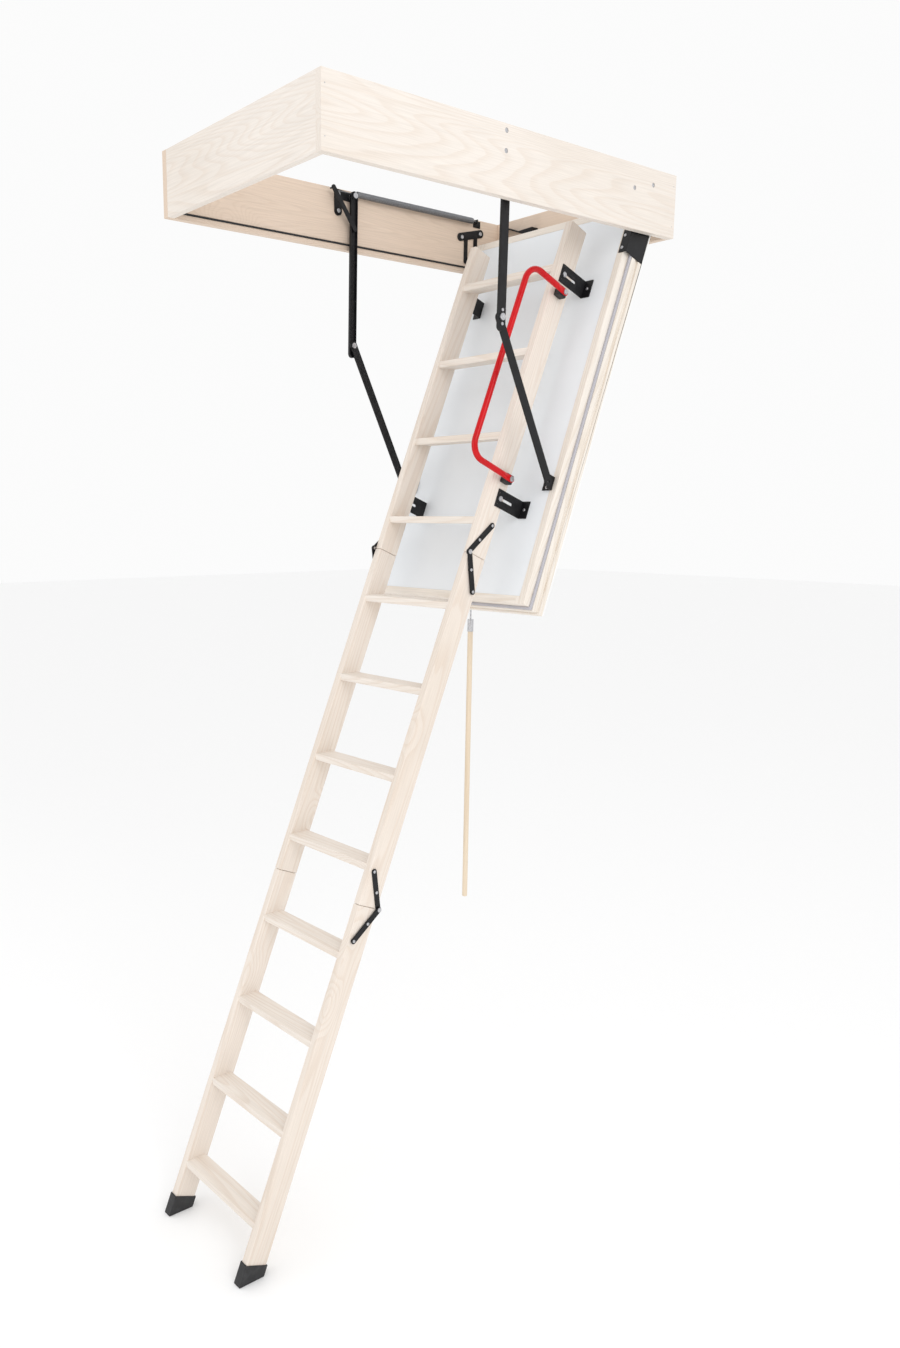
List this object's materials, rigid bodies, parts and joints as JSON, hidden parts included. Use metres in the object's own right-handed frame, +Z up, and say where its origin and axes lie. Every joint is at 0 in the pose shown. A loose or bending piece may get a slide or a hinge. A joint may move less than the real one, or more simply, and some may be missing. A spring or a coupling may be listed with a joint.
{
  "type": "folding attic ladder",
  "caption": "Folding wooden attic ladder in a ceiling box: insulated hatch on side hinges, hinged ladder sections, sprung toggle arms, handrail and hooked pole",
  "frame": {"origin": "centre of the opening inside the box, in the plane of the ceiling, which is the lower edge of the box boards", "axes": "+Z is up, +X runs along the box towards the end with the hinges, +Y runs across the box away from the handrail"},
  "size_m": [1.4174, 0.7, 2.9403],
  "materials": {
    "box_pine": "matte",
    "ladder_pine": "satin",
    "hatch_pine": "matte",
    "white_board": "satin",
    "insulation": "matte",
    "grey_seal": "matte",
    "dark_seal": "matte",
    "black_steel": "satin",
    "zinc": "satin",
    "spring_steel": "satin",
    "red_paint": "gloss",
    "black_plastic": "matte",
    "pole_wood": "satin"
  },
  "bodies": {
    "box": {"long_board_near": "box_pine", "long_board_far": "box_pine", "short_board_hinge_end": "box_pine", "short_board_free_end": "box_pine", "corner_nails": "zinc", "box_seals": "dark_seal", "arm_brackets": "black_steel", "arm_pivot_pins": "zinc", "hinge_bars": "black_steel", "hinge_pins": "zinc", "side_bolts": "zinc", "tension_springs": "spring_steel", "spring_anchors": "black_steel", "leaf_strip": "black_steel", "strike_plate": "zinc"},
    "hatch": {"hatch_side_rail_near": "hatch_pine", "hatch_side_rail_far": "hatch_pine", "hatch_end_rails": "hatch_pine", "hatch_foam": "insulation", "attic_panel": "white_board", "ceiling_panel": "white_board", "hatch_seal": "grey_seal", "hinge_plates": "black_steel", "hatch_arm_brackets": "black_steel", "hatch_arm_pins": "zinc", "hatch_screws": "zinc", "slotted_brackets": "black_steel", "bracket_bolts": "zinc", "lock_case": "black_steel", "upper_stringer_near": "ladder_pine", "upper_stringer_far": "ladder_pine", "upper_treads": "ladder_pine", "handrail": "red_paint", "handrail_spacers": "black_plastic", "handrail_bolts": "zinc", "upper_knee_straps": "black_steel", "knee_pins_upper": "zinc", "strap_screws_upper": "zinc"},
    "middle_section": {"middle_stringer_near": "ladder_pine", "middle_stringer_far": "ladder_pine", "middle_treads": "ladder_pine", "middle_knee_straps": "black_steel", "knee_pins_lower": "zinc", "strap_screws_middle": "zinc"},
    "lower_section": {"lower_stringer_near": "ladder_pine", "lower_stringer_far": "ladder_pine", "lower_treads": "ladder_pine", "lower_knee_straps": "black_steel", "strap_screws_lower": "zinc", "feet": "black_plastic"},
    "upper_arm_near": {"upper_arm_near": "black_steel", "elbow_pin_near": "zinc"},
    "upper_arm_far": {"upper_arm_far": "black_steel", "elbow_pin_far": "zinc"},
    "lower_arm_near": {"lower_arm_near": "black_steel"},
    "lower_arm_far": {"lower_arm_far": "black_steel"},
    "eye": {"lock_eye": "zinc"},
    "latch": {"latch_bolt": "zinc"},
    "pole": {"pole_stick": "pole_wood", "pole_hook": "zinc"}
  },
  "joints": [
    {"name": "hatch_hinge", "type": "hinge", "parent": "box", "child": "hatch", "pos_m": [0.536, 0, 0.02], "axis": [0, 1, 0], "range_deg": [0, 69.5]},
    {"name": "knee_upper", "type": "hinge", "parent": "hatch", "child": "middle_section", "pos_m": [-0.0149, 0, -0.86732], "axis": [0, 1, 0], "range_deg": [0, 180]},
    {"name": "knee_lower", "type": "hinge", "parent": "middle_section", "child": "lower_section", "pos_m": [-0.32985, 0, -1.82763], "axis": [0, -1, 0], "range_deg": [0, 180]},
    {"name": "arm_near", "type": "hinge", "parent": "box", "child": "upper_arm_near", "pos_m": [-0.014, -0.305, 0.147], "axis": [0, 1, 0], "range_deg": [0, 162], "deforming": ["tension_springs"]},
    {"name": "elbow_near", "type": "hinge", "parent": "upper_arm_near", "child": "lower_arm_near", "pos_m": [-0.02, -0.303, -0.27196], "axis": [0, -1, 0], "range_deg": [0, 122.1]},
    {"name": "arm_far", "type": "hinge", "parent": "box", "child": "upper_arm_far", "pos_m": [-0.014, 0.305, 0.147], "axis": [0, 1, 0], "range_deg": [0, 162]},
    {"name": "elbow_far", "type": "hinge", "parent": "upper_arm_far", "child": "lower_arm_far", "pos_m": [-0.02, 0.303, -0.27196], "axis": [0, -1, 0], "range_deg": [0, 122.1]},
    {"name": "eye_pull", "type": "slide", "parent": "hatch", "child": "eye", "axis": [-0.9367, 0, 0.3502], "range_m": [0, 0.005]},
    {"name": "latch_throw", "type": "slide", "parent": "hatch", "child": "latch", "axis": [-0.3502, 0, -0.9367], "range_m": [0, 0.008]},
    {"name": "pole_swing", "type": "hinge", "parent": "eye", "child": "pole", "pos_m": [0.19609, 0, -1.03689], "axis": [0, 1, 0], "range_deg": [-75, 20]}
  ],
  "couplings": [
    {"joint": "knee_upper", "follows": "hatch_hinge", "ratio": 2.5899},
    {"joint": "knee_lower", "follows": "hatch_hinge", "ratio": 2.5899},
    {"joint": "arm_near", "follows": "hatch_hinge", "ratio": 2.3305},
    {"joint": "elbow_near", "follows": "hatch_hinge", "ratio": 1.7559},
    {"joint": "arm_far", "follows": "hatch_hinge", "ratio": 2.3305},
    {"joint": "elbow_far", "follows": "hatch_hinge", "ratio": 1.7559},
    {"joint": "latch_throw", "follows": "eye_pull", "ratio": 1.6}
  ]
}
